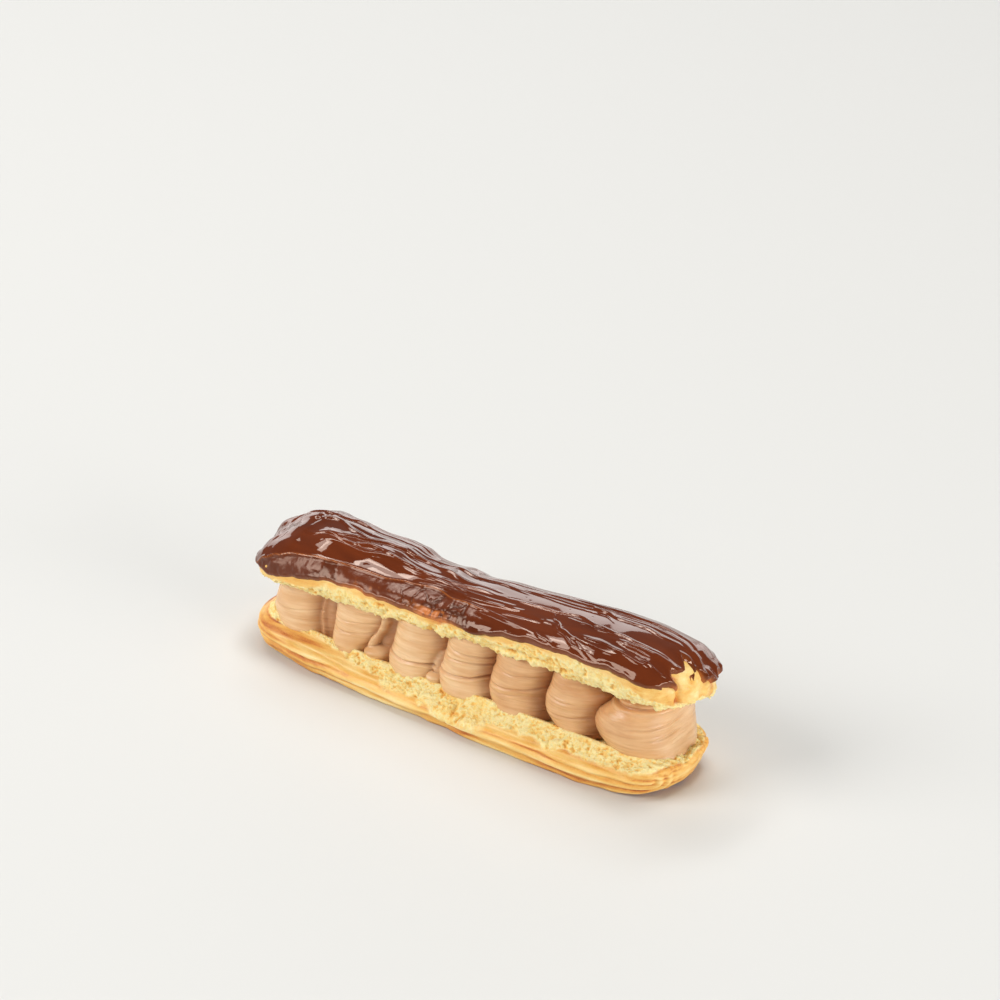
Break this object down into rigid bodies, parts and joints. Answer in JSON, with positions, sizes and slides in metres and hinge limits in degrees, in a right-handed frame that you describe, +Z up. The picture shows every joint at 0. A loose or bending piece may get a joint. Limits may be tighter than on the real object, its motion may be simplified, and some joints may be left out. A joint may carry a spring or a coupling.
{
  "type": "chocolate eclair",
  "caption": "Split choux eclair with piped chocolate cream mounds between a shallow base and a tilted lid, under a glossy chocolate icing.",
  "frame": {"origin": "centre of the bounding box in plan, at the resting plane", "axes": "+X along the length towards the wider last cream mound, -Y towards the side where the lid gapes more, +Z up"},
  "size_m": [0.1511, 0.0366, 0.0416],
  "materials": {
    "choux_base": "baked golden crust with a pale torn crumb rim",
    "choux_top": "pale torn crumb under a golden crust",
    "chocolate_icing": "glossy brushed dark chocolate",
    "cream": "satin piped mousse"
  },
  "bodies": {
    "root": {"choux_base": "choux_base", "choux_top": "choux_top", "chocolate_icing": "chocolate_icing", "cream_1": "cream", "cream_2": "cream", "cream_3": "cream", "cream_4": "cream", "cream_5": "cream", "cream_6": "cream", "cream_7": "cream"}
  },
  "joints": []
}
